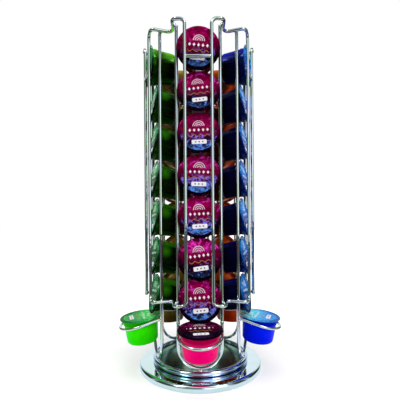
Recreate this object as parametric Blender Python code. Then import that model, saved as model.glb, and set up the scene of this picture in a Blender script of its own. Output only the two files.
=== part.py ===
"""Revolving wire tower that holds coffee capsules in five columns and offers the lowest of each.

Units are metres, +Z is up, and the origin is the centre of the face that the base stands on.
A column is drawn at the front, facing -Y, and turned about Z to its place.
"""
import math

import bmesh
import bpy
from mathutils import Matrix, Vector

# Seats and running gaps
SEAT_GAP = 0.0003
RUNNING_GAP = 0.0004
MERGE_GAP_SHARE = 0.01
SHARP_ANGLE = math.radians(35)

# Capsule
CAPSULE_FLANGE_RADIUS = 0.01875
CAPSULE_FLANGE_THICKNESS = 0.0012
CAPSULE_NECK_RADIUS = 0.0162
CAPSULE_NECK_DEPTH = 0.0060
CAPSULE_BOTTOM_RADIUS = 0.0143
CAPSULE_BOTTOM_ROUND = 0.0022
CAPSULE_HEIGHT = 0.0240
CAPSULE_SEGMENTS = 14

# Columns
COLUMN_COUNT = 5
STACK_COUNT = 7
STACK_LEAN = math.radians(11)
COLUMN_LEG_RADIUS = 0.0425
LEG_CATCH = 0.00135
RETAINER_HALF_GAP = 0.0114
HEADROOM = 0.0049
LOOP_BOTTOM_HEIGHT = 0.0690
TIE_BAR_DROP = 0.0316
FRAME_WIRE_RADIUS = 0.0015
LOOP_BEND_RADIUS = 0.0045
LOOP_BEND_STEPS = 3
LEG_BEND_STEPS = 12
WIRE_BEVEL_RESOLUTION = 1

# Cradle under each column
CRADLE_RADIUS = 0.0590
CRADLE_TILT = math.radians(6)
HOOP_WIRE_RADIUS = 0.00125
HOOP_SLACK = 0.00075
HOOP_START_HEIGHT = 0.0525
HOOP_SLOPE = math.radians(16)
HOOP_BEND_STEPS = 12

# Base
BASE_RADIUS = 0.0596
BASE_TOP_HEIGHT = 0.0060
BASE_SHEET = 0.0010
BASE_EDGE_ROUND = 0.0030
BASE_SKIRT_CLEARANCE = 0.0006
WELL_RADIUS = 0.0330
WELL_WALL_RUN = 0.0015
WELL_FLOOR_HEIGHT = 0.0022
COVER_THICKNESS = 0.0010
COVER_WALL = 0.0020
BASE_SEGMENTS = 36
EDGE_ROUND_STEPS = 2

# Turntable
RING_OUTSET = 0.0015
RING_ROD_RADIUS = 0.0025
RING_SEGMENTS = 36
RING_BEVEL_RESOLUTION = 2
PLATE_THICKNESS = 0.0010
BALL_RADIUS = 0.0010
BALL_COUNT = 9
BALL_SIDES = 6
BALL_RINGS = 4
RACE_WELL_CLEARANCE = 0.0045
RACE_HALF_WIDTH = 0.0045
RACE_THICKNESS = 0.0010
RACE_GROOVE_DEPTH = 0.0005
RACE_GROOVE_HALF_WIDTH = 0.0010
RACE_SEGMENTS = 24
CAGE_HALF_WIDTH = 0.0022
CAGE_THICKNESS = 0.0005

# Pivot
RIVET_SHANK_RADIUS = 0.0025
RIVET_HEAD_RADIUS = 0.0055
RIVET_HEAD_HEIGHT = 0.0016
RIVET_HEAD_CROWN_SHARE = 0.6
RIVET_TAIL_RADIUS = 0.0045
RIVET_TAIL_THICKNESS = 0.0006
WASHER_RADIUS = 0.0065
WASHER_THICKNESS = 0.0005
PIVOT_SEGMENTS = 16

# Finishes: colour, roughness, metallic
CHROME = ("chrome", (0.80, 0.82, 0.84), 0.08, 1.0)
ZINC = ("zinc_plate", (0.55, 0.56, 0.58), 0.35, 1.0)
BALL_STEEL = ("ball_steel", (0.70, 0.71, 0.73), 0.15, 1.0)
NYLON = ("nylon", (0.86, 0.86, 0.82), 0.45, 0.0)
RUBBER = ("black_rubber", (0.03, 0.03, 0.03), 0.80, 0.0)
CAPSULE_FINISHES = (
    ("capsule_crimson", (0.62, 0.01, 0.16), 0.30, 0.0),
    ("capsule_blue", (0.01, 0.05, 0.70), 0.30, 0.0),
    ("capsule_copper", (0.45, 0.08, 0.02), 0.30, 0.0),
    ("capsule_bronze", (0.24, 0.17, 0.04), 0.30, 0.0),
    ("capsule_green", (0.05, 0.50, 0.01), 0.30, 0.0),
)

# Column layout worked out from the sizes above
COLUMN_STEP = 2 * math.pi / COLUMN_COUNT
LEG_OFFSET = CAPSULE_FLANGE_RADIUS - LEG_CATCH + FRAME_WIRE_RADIUS
LOOP_BAR_OFFSET = LEG_OFFSET + 2 * FRAME_WIRE_RADIUS + SEAT_GAP
LEG_INNER_OFFSET = LEG_OFFSET - FRAME_WIRE_RADIUS
CATCH_MIDDLE = (LEG_INNER_OFFSET + CAPSULE_FLANGE_RADIUS) / 2


def chord_half(radius, offset):
    """Half the chord of a circle at a distance from its centre."""
    return math.sqrt(max(radius ** 2 - offset ** 2, 0))


LID_RADIUS = (COLUMN_LEG_RADIUS + FRAME_WIRE_RADIUS + SEAT_GAP
              + CAPSULE_FLANGE_THICKNESS * math.cos(STACK_LEAN)
              + chord_half(CAPSULE_FLANGE_RADIUS, CATCH_MIDDLE) * math.sin(STACK_LEAN))
RETAINER_RADIUS = (LID_RADIUS + FRAME_WIRE_RADIUS + SEAT_GAP
                   + chord_half(CAPSULE_FLANGE_RADIUS, RETAINER_HALF_GAP) * math.sin(STACK_LEAN))

# Cradle layout: the flange rests where it first crosses the hoop
HOOP_HALF_WIDTH = CAPSULE_NECK_RADIUS + HOOP_SLACK + HOOP_WIRE_RADIUS
HOOP_START_RADIUS = COLUMN_LEG_RADIUS + FRAME_WIRE_RADIUS + SEAT_GAP
HOOP_CROSSING = chord_half(CAPSULE_FLANGE_RADIUS, HOOP_HALF_WIDTH - HOOP_WIRE_RADIUS)
HOOP_CROWN_AT_CROSSING = (HOOP_START_HEIGHT + HOOP_WIRE_RADIUS / math.cos(HOOP_SLOPE)
                          - (CRADLE_RADIUS - HOOP_CROSSING - HOOP_START_RADIUS) * math.tan(HOOP_SLOPE))
CRADLE_LID_HEIGHT = (HOOP_CROWN_AT_CROSSING + SEAT_GAP
                     + CAPSULE_FLANGE_THICKNESS / math.cos(CRADLE_TILT)
                     - HOOP_CROSSING * math.tan(CRADLE_TILT))

# Stack layout: each neck rests on the flange below it
NECK_DROP = CAPSULE_NECK_RADIUS / math.cos(STACK_LEAN)
STACK_PITCH = (CAPSULE_FLANGE_RADIUS * math.cos(STACK_LEAN) + NECK_DROP + SEAT_GAP
               + CAPSULE_FLANGE_RADIUS * math.sin(STACK_LEAN) * math.tan(STACK_LEAN))
CRADLE_REAR_RADIUS = CRADLE_RADIUS - CAPSULE_FLANGE_RADIUS * math.cos(CRADLE_TILT)
CRADLE_REAR_HEIGHT = CRADLE_LID_HEIGHT + CAPSULE_FLANGE_RADIUS * math.sin(CRADLE_TILT)
STACK_BOTTOM_HEIGHT = (CRADLE_REAR_HEIGHT + SEAT_GAP + NECK_DROP
                       + (LID_RADIUS - CRADLE_REAR_RADIUS) * math.tan(STACK_LEAN))

# The top capsule has nothing on it, so it stands upright against the retaining wires
TOP_LID_RADIUS = RETAINER_RADIUS - FRAME_WIRE_RADIUS - SEAT_GAP
TOP_LID_HEIGHT = (STACK_BOTTOM_HEIGHT + (STACK_COUNT - 2) * STACK_PITCH
                  + CAPSULE_FLANGE_RADIUS * math.cos(STACK_LEAN) + SEAT_GAP + CAPSULE_NECK_RADIUS)
LOOP_TOP_HEIGHT = TOP_LID_HEIGHT + CAPSULE_FLANGE_RADIUS + HEADROOM
TIE_BAR_HEIGHT = LOOP_TOP_HEIGHT - TIE_BAR_DROP

# Turntable layout, upwards from the floor of the well
RING_RADIUS = COLUMN_LEG_RADIUS + RING_OUTSET
RACE_RADIUS = WELL_RADIUS - RACE_HALF_WIDTH - RACE_WELL_CLEARANCE
WELL_FLOOR_TOP = WELL_FLOOR_HEIGHT + BASE_SHEET
LOWER_RACE_BOTTOM = WELL_FLOOR_TOP + SEAT_GAP
LOWER_RACE_TOP = LOWER_RACE_BOTTOM + RACE_THICKNESS
GROOVE_ANGLE = math.atan2(RACE_GROOVE_DEPTH, RACE_GROOVE_HALF_WIDTH)
BALL_RISE = (BALL_RADIUS + SEAT_GAP) / math.cos(GROOVE_ANGLE)
BALL_HEIGHT = LOWER_RACE_TOP - RACE_GROOVE_DEPTH + BALL_RISE
UPPER_RACE_BOTTOM = BALL_HEIGHT + BALL_RISE - RACE_GROOVE_DEPTH
UPPER_RACE_TOP = UPPER_RACE_BOTTOM + RACE_THICKNESS
PLATE_BOTTOM = UPPER_RACE_TOP + SEAT_GAP
PLATE_TOP = PLATE_BOTTOM + PLATE_THICKNESS
PLATE_RADIUS = RING_RADIUS - RING_ROD_RADIUS - SEAT_GAP
RING_HEIGHT = BASE_TOP_HEIGHT + RUNNING_GAP + RING_ROD_RADIUS
LEG_BOTTOM_HEIGHT = RING_HEIGHT + RING_ROD_RADIUS + SEAT_GAP + FRAME_WIRE_RADIUS
PIVOT_BORE_RADIUS = RIVET_SHANK_RADIUS + SEAT_GAP
WASHER_BOTTOM = PLATE_TOP + SEAT_GAP
RIVET_HEAD_BOTTOM = WASHER_BOTTOM + WASHER_THICKNESS + SEAT_GAP
RIVET_TAIL_TOP = WELL_FLOOR_HEIGHT - SEAT_GAP


def clear_scene():
    """Start from an empty scene."""
    for old in list(bpy.data.objects):
        bpy.data.objects.remove(old, do_unlink=True)


def finish_material(finish):
    """One Principled material from a finish."""
    name, colour, roughness, metallic = finish
    material = bpy.data.materials.get(name)
    if material is None:
        material = bpy.data.materials.new(name)
        material.use_nodes = True
        shader = material.node_tree.nodes["Principled BSDF"]
        shader.inputs["Base Color"].default_value = (*colour, 1)
        shader.inputs["Roughness"].default_value = roughness
        shader.inputs["Metallic"].default_value = metallic
        material.diffuse_color = (*colour, 1)
    return material


def add_object(name, data, finish, parent, turn=0):
    """Link one named piece, turned about the tower's axis."""
    if finish is not None:
        data.materials.clear()
        data.materials.append(finish_material(finish))
    piece = bpy.data.objects.new(name, data)
    piece.rotation_euler.z = turn
    piece.parent = parent
    bpy.context.scene.collection.objects.link(piece)
    return piece


def add_empty(name):
    """An empty on the axis of the joint."""
    empty = bpy.data.objects.new(name, None)
    bpy.context.scene.collection.objects.link(empty)
    return empty


def spin_outline(work, outline, segments, closed):
    """Turn an outline of (radius, height) points about Z inside a bmesh."""
    points = [work.verts.new((radius, 0, height)) for radius, height in outline]
    lines = [work.edges.new(pair) for pair in zip(points, points[1:])]
    if closed:
        lines.append(work.edges.new((points[-1], points[0])))
    bmesh.ops.spin(work, geom=points + lines, cent=(0, 0, 0), axis=(0, 0, 1),
                   angle=2 * math.pi, steps=segments, use_merge=True, use_duplicate=False)


def tidy_solid(work):
    """Merge what meets on the axis and point every face outwards."""
    bmesh.ops.remove_doubles(work, verts=work.verts, dist=SEAT_GAP * MERGE_GAP_SHARE)
    bmesh.ops.recalc_face_normals(work, faces=work.faces)


def mesh_from(work, name):
    """Write a bmesh to a smooth shaded mesh."""
    tidy_solid(work)
    mesh = bpy.data.meshes.new(name)
    work.to_mesh(mesh)
    work.free()
    mesh.shade_smooth()
    mesh.set_sharp_from_angle(angle=SHARP_ANGLE)
    return mesh


def turned_mesh(name, outline, segments, closed=True):
    """A turned solid. An open outline starts and ends on the axis."""
    work = bmesh.new()
    spin_outline(work, outline, segments, closed)
    return mesh_from(work, name)


def quarter_round(centre_radius, centre_height, radius, start, steps):
    """Points of a quarter circle, turning clockwise from a start angle."""
    turns = [start - math.pi / 2 * step / steps for step in range(steps + 1)]
    return [(centre_radius + radius * math.cos(turn), centre_height + radius * math.sin(turn))
            for turn in turns]


def wire_curve(name, points, radius, resolution, closed=False):
    """A bent wire through its points, closed or with capped ends."""
    curve = bpy.data.curves.new(name, "CURVE")
    curve.dimensions = "3D"
    curve.bevel_depth = radius
    curve.bevel_resolution = resolution
    curve.use_fill_caps = True
    spline = curve.splines.new("POLY")
    spline.points.add(len(points) - 1)
    for slot, point in zip(spline.points, points):
        slot.co = (*point, 1)
    spline.use_cyclic_u = closed
    return curve


def united_mesh(name, first, others):
    """One mesh of welded pieces, which reach into each other at their welds."""
    blanks = [bpy.data.objects.new(name, data) for data in (first, *others)]
    for blank in blanks:
        bpy.context.scene.collection.objects.link(blank)
    for blank in blanks[1:]:
        weld = blanks[0].modifiers.new("weld", "BOOLEAN")
        weld.operation = "UNION"
        weld.object = blank
    graph = bpy.context.evaluated_depsgraph_get()
    mesh = bpy.data.meshes.new_from_object(blanks[0].evaluated_get(graph))
    mesh.name = name
    for blank in blanks:
        bpy.data.objects.remove(blank, do_unlink=True)
    return mesh


def solid_wire(name, points, radius, resolution, closed=False):
    """The wire of wire_curve as a welded mesh."""
    curve = wire_curve(name, points, radius, resolution, closed)
    blank = bpy.data.objects.new(name, curve)
    bpy.context.scene.collection.objects.link(blank)
    graph = bpy.context.evaluated_depsgraph_get()
    mesh = bpy.data.meshes.new_from_object(blank.evaluated_get(graph))
    bpy.data.objects.remove(blank, do_unlink=True)
    bpy.data.curves.remove(curve)
    work = bmesh.new()
    work.from_mesh(mesh)
    bpy.data.meshes.remove(mesh)
    return mesh_from(work, name)


def bend_points(before, corner, after, radius, steps):
    """Points of a round bend that replaces one corner of a wire."""
    towards = (before - corner).normalized()
    away = (after - corner).normalized()
    half_angle = towards.angle(away) / 2
    reach = radius / math.tan(half_angle)
    middle = (towards + away).normalized()
    centre = corner + middle * (radius / math.sin(half_angle))
    first = (corner + towards * reach - centre).normalized()
    last = (corner + away * reach - centre).normalized()
    return [centre + radius * first.slerp(last, step / steps) for step in range(steps + 1)]


def place_in_column(offset, radius, height, turn=0):
    """A point by its sideways offset, its distance from the axis and its height."""
    return Matrix.Rotation(turn, 3, "Z") @ Vector((offset, -radius, height))


def capsule_outline():
    """Half section of a capsule: lid at height zero, cup below it."""
    return [
        (0, 0),
        (CAPSULE_FLANGE_RADIUS, 0),
        (CAPSULE_FLANGE_RADIUS, -CAPSULE_FLANGE_THICKNESS),
        (CAPSULE_NECK_RADIUS, -CAPSULE_FLANGE_THICKNESS),
        (CAPSULE_NECK_RADIUS, -CAPSULE_NECK_DEPTH),
        (CAPSULE_BOTTOM_RADIUS, -CAPSULE_HEIGHT + CAPSULE_BOTTOM_ROUND),
        (CAPSULE_BOTTOM_RADIUS - CAPSULE_BOTTOM_ROUND, -CAPSULE_HEIGHT),
        (0, -CAPSULE_HEIGHT),
    ]


def capsule_mesh(place):
    """One capsule, moved from its own frame to its place in the front column."""
    work = bmesh.new()
    spin_outline(work, capsule_outline(), CAPSULE_SEGMENTS, closed=False)
    work.transform(place)
    return mesh_from(work, "capsule")


def stack_places():
    """Standing capsules: lids face out and slightly up, each on the one below."""
    turn = Matrix.Rotation(math.pi / 2 - STACK_LEAN, 4, "X")
    heights = [STACK_BOTTOM_HEIGHT + level * STACK_PITCH for level in range(STACK_COUNT - 1)]
    leaning = [Matrix.Translation((0, -LID_RADIUS, height)) @ turn for height in heights]
    upright = Matrix.Translation((0, -TOP_LID_RADIUS, TOP_LID_HEIGHT)) @ Matrix.Rotation(math.pi / 2, 4, "X")
    return leaning + [upright]


def cradle_place():
    """The lowest capsule lies in the hoop with its lid up, tipped outwards."""
    turn = Matrix.Rotation(CRADLE_TILT, 4, "X")
    return Matrix.Translation((0, -CRADLE_RADIUS, CRADLE_LID_HEIGHT)) @ turn


def leg_frame_points():
    """U frame: two straight legs joined by a half circle at the bottom."""
    centre_height = LEG_BOTTOM_HEIGHT + LEG_OFFSET
    points = [place_in_column(-LEG_OFFSET, COLUMN_LEG_RADIUS, LOOP_TOP_HEIGHT)]
    for step in range(LEG_BEND_STEPS + 1):
        turn = math.pi * step / LEG_BEND_STEPS
        points.append(place_in_column(-LEG_OFFSET * math.cos(turn), COLUMN_LEG_RADIUS,
                                      centre_height - LEG_OFFSET * math.sin(turn)))
    points.append(place_in_column(LEG_OFFSET, COLUMN_LEG_RADIUS, LOOP_TOP_HEIGHT))
    return points


def corner_loop_points():
    """Closed wire round the corner between a column and the next one to its right.

    It rises in front of one column's lids, steps round both legs at the top, comes down in
    front of the next column's lids and steps back round the legs at the bottom.
    """
    corner_radius = LOOP_BAR_OFFSET / math.tan(COLUMN_STEP / 2)
    plan = [
        (RETAINER_HALF_GAP, RETAINER_RADIUS, 0),
        (LOOP_BAR_OFFSET, RETAINER_RADIUS, 0),
        (LOOP_BAR_OFFSET, corner_radius, 0),
        (-LOOP_BAR_OFFSET, RETAINER_RADIUS, COLUMN_STEP),
        (-RETAINER_HALF_GAP, RETAINER_RADIUS, COLUMN_STEP),
    ]
    top = [place_in_column(offset, radius, LOOP_TOP_HEIGHT, turn) for offset, radius, turn in plan]
    bottom = [place_in_column(offset, radius, LOOP_BOTTOM_HEIGHT, turn) for offset, radius, turn in plan]
    corners = top + bottom[::-1]
    points = []
    for index, corner in enumerate(corners):
        before = corners[index - 1]
        after = corners[(index + 1) % len(corners)]
        points += bend_points(before, corner, after, LOOP_BEND_RADIUS, LOOP_BEND_STEPS)
    return points


def hoop_points():
    """Hoop from leg to leg, sloping down and outwards round the lowest capsule."""
    def sloped(offset, radius):
        height = HOOP_START_HEIGHT - (radius - HOOP_START_RADIUS) * math.tan(HOOP_SLOPE)
        return place_in_column(offset, radius, height)

    points = [sloped(-LEG_OFFSET, COLUMN_LEG_RADIUS)]
    for step in range(HOOP_BEND_STEPS + 1):
        turn = math.pi * step / HOOP_BEND_STEPS
        points.append(sloped(-HOOP_HALF_WIDTH * math.cos(turn),
                             CRADLE_RADIUS + HOOP_HALF_WIDTH * math.sin(turn)))
    points.append(sloped(LEG_OFFSET, COLUMN_LEG_RADIUS))
    return points


def tie_bar_points():
    """Bar across one column, welded to the loop on its right and butted to the one on its left."""
    butt_offset = RETAINER_HALF_GAP - FRAME_WIRE_RADIUS - SEAT_GAP
    return [place_in_column(offset, RETAINER_RADIUS, TIE_BAR_HEIGHT)
            for offset in (-butt_offset, RETAINER_HALF_GAP)]


def ring_points():
    """Centre line of the ring under the frames."""
    turns = [2 * math.pi * step / RING_SEGMENTS for step in range(RING_SEGMENTS)]
    return [place_in_column(0, RING_RADIUS, RING_HEIGHT, turn) for turn in turns]


def build_columns(rotor):
    """Frames with their hoops, loops with their tie bars, and the capsules."""
    legs = solid_wire("legs", leg_frame_points(), FRAME_WIRE_RADIUS, WIRE_BEVEL_RESOLUTION)
    hoop = solid_wire("hoop", hoop_points(), HOOP_WIRE_RADIUS, WIRE_BEVEL_RESOLUTION)
    frame = united_mesh("leg_frame_with_hoop", legs, [hoop])
    bent_loop = solid_wire("loop", corner_loop_points(), FRAME_WIRE_RADIUS,
                           WIRE_BEVEL_RESOLUTION, closed=True)
    tie_bar = solid_wire("tie_bar", tie_bar_points(), FRAME_WIRE_RADIUS, WIRE_BEVEL_RESOLUTION)
    loop = united_mesh("corner_loop_with_tie_bar", bent_loop, [tie_bar])
    standing = [capsule_mesh(place) for place in stack_places()]
    lying = capsule_mesh(cradle_place())
    for column in range(COLUMN_COUNT):
        turn = column * COLUMN_STEP
        number = column + 1
        add_object(f"leg_frame_{number}", frame, CHROME, rotor, turn)
        add_object(f"corner_loop_{number}", loop, CHROME, rotor, turn)
        finish = CAPSULE_FINISHES[column % len(CAPSULE_FINISHES)]
        add_object(f"cradle_capsule_{number}", lying.copy(), finish, rotor, turn)
        for level, capsule in enumerate(standing, start=1):
            add_object(f"capsule_{number}_{level}", capsule.copy(), finish, rotor, turn)


def race_outline(back, front):
    """Half section of a bearing race with a V groove in its front face."""
    towards_back = math.copysign(RACE_GROOVE_DEPTH, back - front)
    return [
        (RACE_RADIUS - RACE_HALF_WIDTH, back),
        (RACE_RADIUS + RACE_HALF_WIDTH, back),
        (RACE_RADIUS + RACE_HALF_WIDTH, front),
        (RACE_RADIUS + RACE_GROOVE_HALF_WIDTH, front),
        (RACE_RADIUS, front + towards_back),
        (RACE_RADIUS - RACE_GROOVE_HALF_WIDTH, front),
        (RACE_RADIUS - RACE_HALF_WIDTH, front),
    ]


def flat_ring_outline(inner, outer, bottom, top):
    """Half section of a flat ring."""
    return [(inner, bottom), (outer, bottom), (outer, top), (inner, top)]


def ball_places():
    """Evenly spaced places round the races."""
    return [place_in_column(0, RACE_RADIUS, BALL_HEIGHT, 2 * math.pi * ball / BALL_COUNT)
            for ball in range(BALL_COUNT)]


def build_turntable(rotor):
    """Ring, plate and upper race, which turn with the columns."""
    ring = wire_curve("turntable_ring", ring_points(), RING_ROD_RADIUS, RING_BEVEL_RESOLUTION, closed=True)
    add_object("turntable_ring", ring, CHROME, rotor)
    plate_outline = flat_ring_outline(PIVOT_BORE_RADIUS, PLATE_RADIUS, PLATE_BOTTOM, PLATE_TOP)
    add_object("turntable_plate", turned_mesh("turntable_plate", plate_outline, BASE_SEGMENTS), CHROME, rotor)
    race = turned_mesh("upper_race", race_outline(UPPER_RACE_TOP, UPPER_RACE_BOTTOM), RACE_SEGMENTS)
    add_object("upper_bearing_race", race, ZINC, rotor)


def build_bearing(stand):
    """Lower race, and the balls in the cage that spaces them."""
    race = turned_mesh("lower_race", race_outline(LOWER_RACE_BOTTOM, LOWER_RACE_TOP), RACE_SEGMENTS)
    add_object("lower_bearing_race", race, ZINC, stand)
    balls = bmesh.new()
    for place in ball_places():
        bmesh.ops.create_uvsphere(balls, u_segments=BALL_SIDES, v_segments=BALL_RINGS,
                                  radius=BALL_RADIUS, matrix=Matrix.Translation(place))
    cage_outline = flat_ring_outline(RACE_RADIUS - CAGE_HALF_WIDTH, RACE_RADIUS + CAGE_HALF_WIDTH,
                                     BALL_HEIGHT - CAGE_THICKNESS / 2, BALL_HEIGHT + CAGE_THICKNESS / 2)
    cage = turned_mesh("ball_cage", cage_outline, RACE_SEGMENTS)
    filled_cage = united_mesh("ball_cage", cage, [mesh_from(balls, "balls")])
    add_object("ball_cage_with_balls", filled_cage, BALL_STEEL, stand)


def base_disc_outline():
    """Half section of the pressed disc: well, flat top, rounded edge and skirt."""
    round_radius = BASE_RADIUS - BASE_EDGE_ROUND
    round_height = BASE_TOP_HEIGHT - BASE_EDGE_ROUND
    outer_edge = quarter_round(round_radius, round_height, BASE_EDGE_ROUND, math.pi / 2, EDGE_ROUND_STEPS)
    inner_edge = quarter_round(round_radius, round_height, BASE_EDGE_ROUND - BASE_SHEET,
                               math.pi / 2, EDGE_ROUND_STEPS)[::-1]
    well_rim = WELL_RADIUS + WELL_WALL_RUN
    return [
        (PIVOT_BORE_RADIUS, WELL_FLOOR_TOP),
        (WELL_RADIUS, WELL_FLOOR_TOP),
        (well_rim, BASE_TOP_HEIGHT),
        *outer_edge,
        (BASE_RADIUS, BASE_SKIRT_CLEARANCE),
        (BASE_RADIUS - BASE_SHEET, BASE_SKIRT_CLEARANCE),
        *inner_edge,
        (well_rim + BASE_SHEET, BASE_TOP_HEIGHT - BASE_SHEET),
        (WELL_RADIUS + BASE_SHEET, WELL_FLOOR_HEIGHT),
        (PIVOT_BORE_RADIUS, WELL_FLOOR_HEIGHT),
    ]


def base_cover_outline():
    """Half section of the cover: flat sole and a wall that bears under the disc."""
    outer = BASE_RADIUS - BASE_EDGE_ROUND - SEAT_GAP
    wall_top = BASE_TOP_HEIGHT - BASE_SHEET - SEAT_GAP
    return [
        (0, 0),
        (outer, 0),
        (outer, wall_top),
        (outer - COVER_WALL, wall_top),
        (outer - COVER_WALL, COVER_THICKNESS),
        (0, COVER_THICKNESS),
    ]


def rivet_outline():
    """Half section of the pivot rivet, from its spread tail to its domed head."""
    head_top = RIVET_HEAD_BOTTOM + RIVET_HEAD_HEIGHT
    crown_radius = RIVET_HEAD_RADIUS * RIVET_HEAD_CROWN_SHARE
    head_side = RIVET_HEAD_BOTTOM + RIVET_HEAD_HEIGHT * (1 - RIVET_HEAD_CROWN_SHARE)
    tail_bottom = RIVET_TAIL_TOP - RIVET_TAIL_THICKNESS
    return [
        (0, tail_bottom),
        (RIVET_TAIL_RADIUS, tail_bottom),
        (RIVET_TAIL_RADIUS, RIVET_TAIL_TOP),
        (RIVET_SHANK_RADIUS, RIVET_TAIL_TOP),
        (RIVET_SHANK_RADIUS, RIVET_HEAD_BOTTOM),
        (RIVET_HEAD_RADIUS, RIVET_HEAD_BOTTOM),
        (RIVET_HEAD_RADIUS, head_side),
        (crown_radius, head_top),
        (0, head_top),
    ]


def build_base(stand):
    """Pressed disc, sole, pivot rivet and its washer."""
    disc = turned_mesh("base_disc", base_disc_outline(), BASE_SEGMENTS)
    add_object("base_disc", disc, CHROME, stand)
    cover = turned_mesh("base_cover", base_cover_outline(), BASE_SEGMENTS, closed=False)
    add_object("non_slip_base_cover", cover, RUBBER, stand)
    rivet = turned_mesh("pivot_rivet", rivet_outline(), PIVOT_SEGMENTS, closed=False)
    add_object("pivot_rivet", rivet, ZINC, stand)
    washer_outline = flat_ring_outline(PIVOT_BORE_RADIUS, WASHER_RADIUS, WASHER_BOTTOM,
                                       WASHER_BOTTOM + WASHER_THICKNESS)
    washer = turned_mesh("pivot_washer", washer_outline, PIVOT_SEGMENTS)
    add_object("pivot_washer", washer, NYLON, stand)


def build():
    """The whole tower."""
    clear_scene()
    stand = add_empty("stand")
    rotor = add_empty("rotor")
    build_base(stand)
    build_bearing(stand)
    build_turntable(rotor)
    build_columns(rotor)


build()
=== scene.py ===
"""Looks of the revolving wire tower for coffee capsules.

Units are metres, +Z is up, and column 1 faces -Y. A column is drawn at the front and turned about Z.
"""
import math

import bmesh
import bpy
from mathutils import Matrix, Vector


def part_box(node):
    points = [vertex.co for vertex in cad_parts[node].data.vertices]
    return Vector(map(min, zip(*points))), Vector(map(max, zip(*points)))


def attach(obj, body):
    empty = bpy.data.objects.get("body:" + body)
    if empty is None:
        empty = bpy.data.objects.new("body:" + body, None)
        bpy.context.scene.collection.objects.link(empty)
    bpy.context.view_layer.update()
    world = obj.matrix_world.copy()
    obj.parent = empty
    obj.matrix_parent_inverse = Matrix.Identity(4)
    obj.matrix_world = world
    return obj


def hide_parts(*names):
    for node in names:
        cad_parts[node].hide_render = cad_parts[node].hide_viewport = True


# Seats and meshes
SEAT_GAP = 0.0003
MERGE_DISTANCE = SEAT_GAP / 100
SHARP_ANGLE = math.radians(50)

# Capsule
FLANGE_RADIUS = 0.01875
FLANGE_THICKNESS = 0.0012
NECK_RADIUS = 0.0162
NECK_DEPTH = 0.0060
CUP_SHOULDER = 0.0006
SHOULDER_DRAFT = 0.3
FILLET_STEPS = 4
CUP_BOTTOM_RADIUS = 0.0143
CUP_BOTTOM_ROUND = 0.0034
CUP_HEIGHT = 0.0240
CUP_RECESS_RADIUS = 0.0085
CUP_RECESS_DEPTH = 0.0008
LID_DISH = 0.00035
LID_SEAM_RADIUS = 0.0160
LID_SEAM_WIDTH = 0.0007
LID_SEAM_STEPS = 8
LID_DISH_STEPS = 12
LID_MIDDLE_SHARE = 0.55
FOIL_FOLD = 0.0009
CAPSULE_SEGMENTS = 72
LID_PLANE_TOLERANCE = 0.0001
LID_POINT_DECIMALS = 5

# Columns
COLUMN_COUNT = 5
STACK_COUNT = 7
STACK_LEAN = math.radians(11)
CRADLE_TILT = math.radians(6)
LEG_RADIUS = 0.0425
LEG_CATCH = 0.00135
RETAINER_HALF_GAP = 0.0114
LOOP_BOTTOM_HEIGHT = 0.0690
TIE_BAR_DROP = 0.0316
WIRE_RADIUS = 0.0015
LOOP_BEND_RADIUS = 0.0045
BEND_STEPS = 10
ARC_STEPS = 40
WIRE_SIDES_RESOLUTION = 6
WIRE_END_ANGLES = [math.radians(angle) for angle in (88, 75, 60, 45, 30, 15, 0)]

# Hoop of the cradle
CRADLE_RADIUS = 0.0590
HOOP_WIRE_RADIUS = 0.00125
HOOP_SLACK = 0.00075
HOOP_START_HEIGHT = 0.0525
HOOP_SLOPE = math.radians(16)

# Weld beads
BEAD_RADIUS = 0.0017
BEAD_LENGTH_SHARE = 1.35
BEAD_SEGMENTS = 16
BEAD_RINGS = 10

# Base and turntable
BASE_RADIUS = 0.0596
BASE_TOP_HEIGHT = 0.0060
BASE_SHEET = 0.0010
BASE_EDGE_ROUND = 0.0030
BASE_SKIRT_CLEARANCE = 0.0006
WELL_RADIUS = 0.0330
WELL_WALL_RUN = 0.0015
WELL_FLOOR_HEIGHT = 0.0022
PIVOT_BORE_RADIUS = 0.0028
RING_RADIUS = 0.0440
RING_ROD_RADIUS = 0.0025
RING_HEIGHT = 0.0089
RING_SEGMENTS = 144
BASE_SEGMENTS = 144
EDGE_STEPS = 10

# Camera, from the perspective of the photograph
CAMERA_PLACE = (0.0005, -0.3235, 0.139)
CAMERA_ROLL = math.radians(0.4)
CAMERA_SENSOR = 36
CAMERA_FOCAL_PIXELS = 325
CAMERA_HORIZON_PIXELS = 23
CAMERA_CLIP_START = 0.01
FRAME_PIXELS = 400

# Print on the lids, in millimetres from the middle of the lid
PRINT_TURN = 0.28
PRINT_SOFTNESS = 0.12
FAN_BASE = 6.2
FAN_RADIUS = 5.2
FAN_ARC_HALF_PITCH = 0.8
FAN_ARC_HALF_WIDTH = 0.24
ROW_HEIGHT = 2.6
ROW_HALF_LENGTH = 11.0
LOZENGE_HALF_PITCH = 1.9
LOZENGE_HALF_WIDTH = 1.15
LOZENGE_WIDTH_TO_HEIGHT = 0.75
WAVE_DROP = 2.4
WAVE_RATE = 1.1
WAVE_SWING = 0.8
WAVE_HALF_WIDTH = 0.26
WAVE_HALF_LENGTH = 9.2
BAR_DROP = 8.2
BAR_HALF_LENGTH = 5.4
BAR_HALF_HEIGHT = 0.9
BAR_CORNER = 1.0
DOT_HALF_PITCH = 1.5
DOT_RADIUS = 0.62
DOTS_HALF_LENGTH = 5.3

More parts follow.
